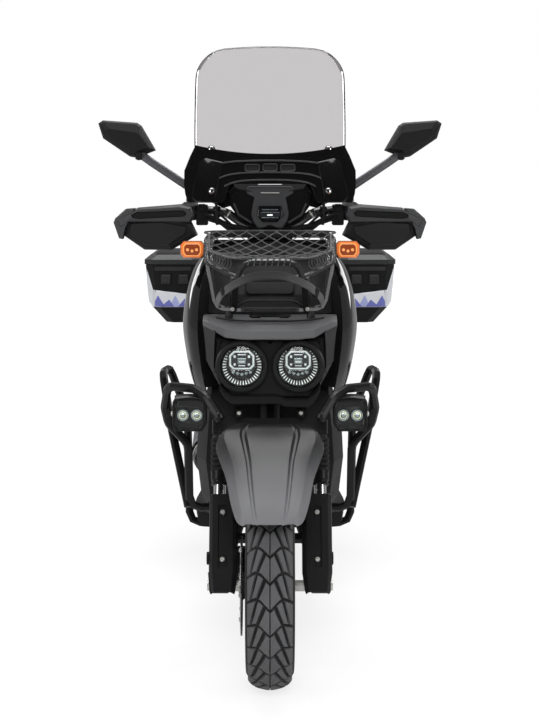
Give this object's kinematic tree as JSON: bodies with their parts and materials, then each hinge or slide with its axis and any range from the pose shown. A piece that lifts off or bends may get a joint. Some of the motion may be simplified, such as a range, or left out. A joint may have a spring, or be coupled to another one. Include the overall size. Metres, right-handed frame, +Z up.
{
  "type": "motor scooter",
  "caption": "Adventure scooter with a tall screen, twin round headlights, tube racks and crash bars, side boxes, step-through floor and a turning front end",
  "frame": {"origin": "on the ground, under the middle of the scooter's length and width", "axes": "+Z up, -Y towards the front wheel, +X towards the scooter's left side"},
  "size_m": [0.872, 2.0329, 1.507],
  "materials": {
    "tyre": "rough rubber",
    "rim": "black satin casting",
    "steel": "bare steel",
    "chrome": "polished",
    "plastic": "grained dark grey",
    "gloss": "gloss black",
    "fender": "satin dark grey",
    "powder": "black powder coat",
    "cast": "grey casting",
    "screen": "clear grey tint",
    "lens": "clear",
    "amber": "orange lens",
    "red": "red lens",
    "vinyl": "seat cover",
    "cloth": "elastic net"
  },
  "bodies": {
    "chassis": {"frame": "powder", "engine": "cast", "exhaust": "powder", "rear_shock_left": "steel", "rear_shock_right": "steel", "floorboard": "plastic", "leg_shield": "plastic", "front_fascia": "plastic", "headlight_left": "lens", "headlight_right": "lens", "wing_left": "gloss", "wing_right": "gloss", "shoulder_panel": "plastic", "front_rack": "powder", "cargo_net": "cloth", "luggage_strap": "cloth", "crash_bar_left": "powder", "crash_bar_right": "powder", "aux_light_left": "plastic", "aux_light_right": "plastic", "front_signal_left": "amber", "front_signal_right": "amber", "rear_body": "gloss", "rear_fender": "plastic", "tail_lamp": "red", "rear_rack": "powder", "pannier_left": "plastic", "pannier_right": "plastic"},
    "steering": {"steering_stem": "cast", "front_axle": "steel", "front_fender": "fender", "front_caliper": "cast", "handlebar": "chrome", "fork_left": "cast", "fork_right": "cast", "fork_guard_left": "plastic", "fork_guard_right": "plastic", "control_left": "plastic", "control_right": "plastic", "hand_guard_left": "plastic", "hand_guard_right": "plastic", "mirror_left": "plastic", "mirror_right": "plastic", "cowl": "plastic", "cowl_lamp": "lens", "windscreen": "screen", "screen_panel": "gloss"},
    "front_wheel": {"front_tyre": "tyre", "front_rim": "rim", "front_disc": "steel"},
    "rear_wheel": {"rear_tyre": "tyre", "rear_rim": "rim"},
    "seat": {"seat": "vinyl"},
    "lid_left": {"pannier_lid_left": "plastic"},
    "lid_right": {"pannier_lid_right": "plastic"},
    "centre_stand": {"centre_stand": "powder"},
    "side_stand": {"side_stand": "powder"}
  },
  "joints": [
    {"name": "steering", "type": "hinge", "parent": "chassis", "child": "steering", "pos_m": [0, -0.5877, 0.5556], "axis": [0, 0.4384, 0.8988], "range_deg": [-35, 35]},
    {"name": "front_wheel_spin", "type": "hinge", "parent": "steering", "child": "front_wheel", "pos_m": [0, -0.776, 0.238], "axis": [1, 0, 0], "continuous": true},
    {"name": "rear_wheel_spin", "type": "hinge", "parent": "chassis", "child": "rear_wheel", "pos_m": [0, 0.624, 0.26], "axis": [1, 0, 0], "continuous": true},
    {"name": "seat_hinge", "type": "hinge", "parent": "chassis", "child": "seat", "pos_m": [0, 0.086, 0.76], "axis": [1, 0, 0], "range_deg": [0, 75]},
    {"name": "left_lid_hinge", "type": "hinge", "parent": "chassis", "child": "lid_left", "pos_m": [0.203, 0.619, 0.918], "axis": [0, -1, 0], "range_deg": [0, 80]},
    {"name": "right_lid_hinge", "type": "hinge", "parent": "chassis", "child": "lid_right", "pos_m": [-0.203, 0.619, 0.918], "axis": [0, 1, 0], "range_deg": [0, 80]},
    {"name": "centre_stand_pivot", "type": "hinge", "parent": "chassis", "child": "centre_stand", "pos_m": [0, 0.189, 0.205], "axis": [1, 0, 0], "range_deg": [0, 78]},
    {"name": "side_stand_pivot", "type": "hinge", "parent": "chassis", "child": "side_stand", "pos_m": [0.134, 0.024, 0.226], "axis": [1, 0, 0], "range_deg": [-80, 0]}
  ]
}
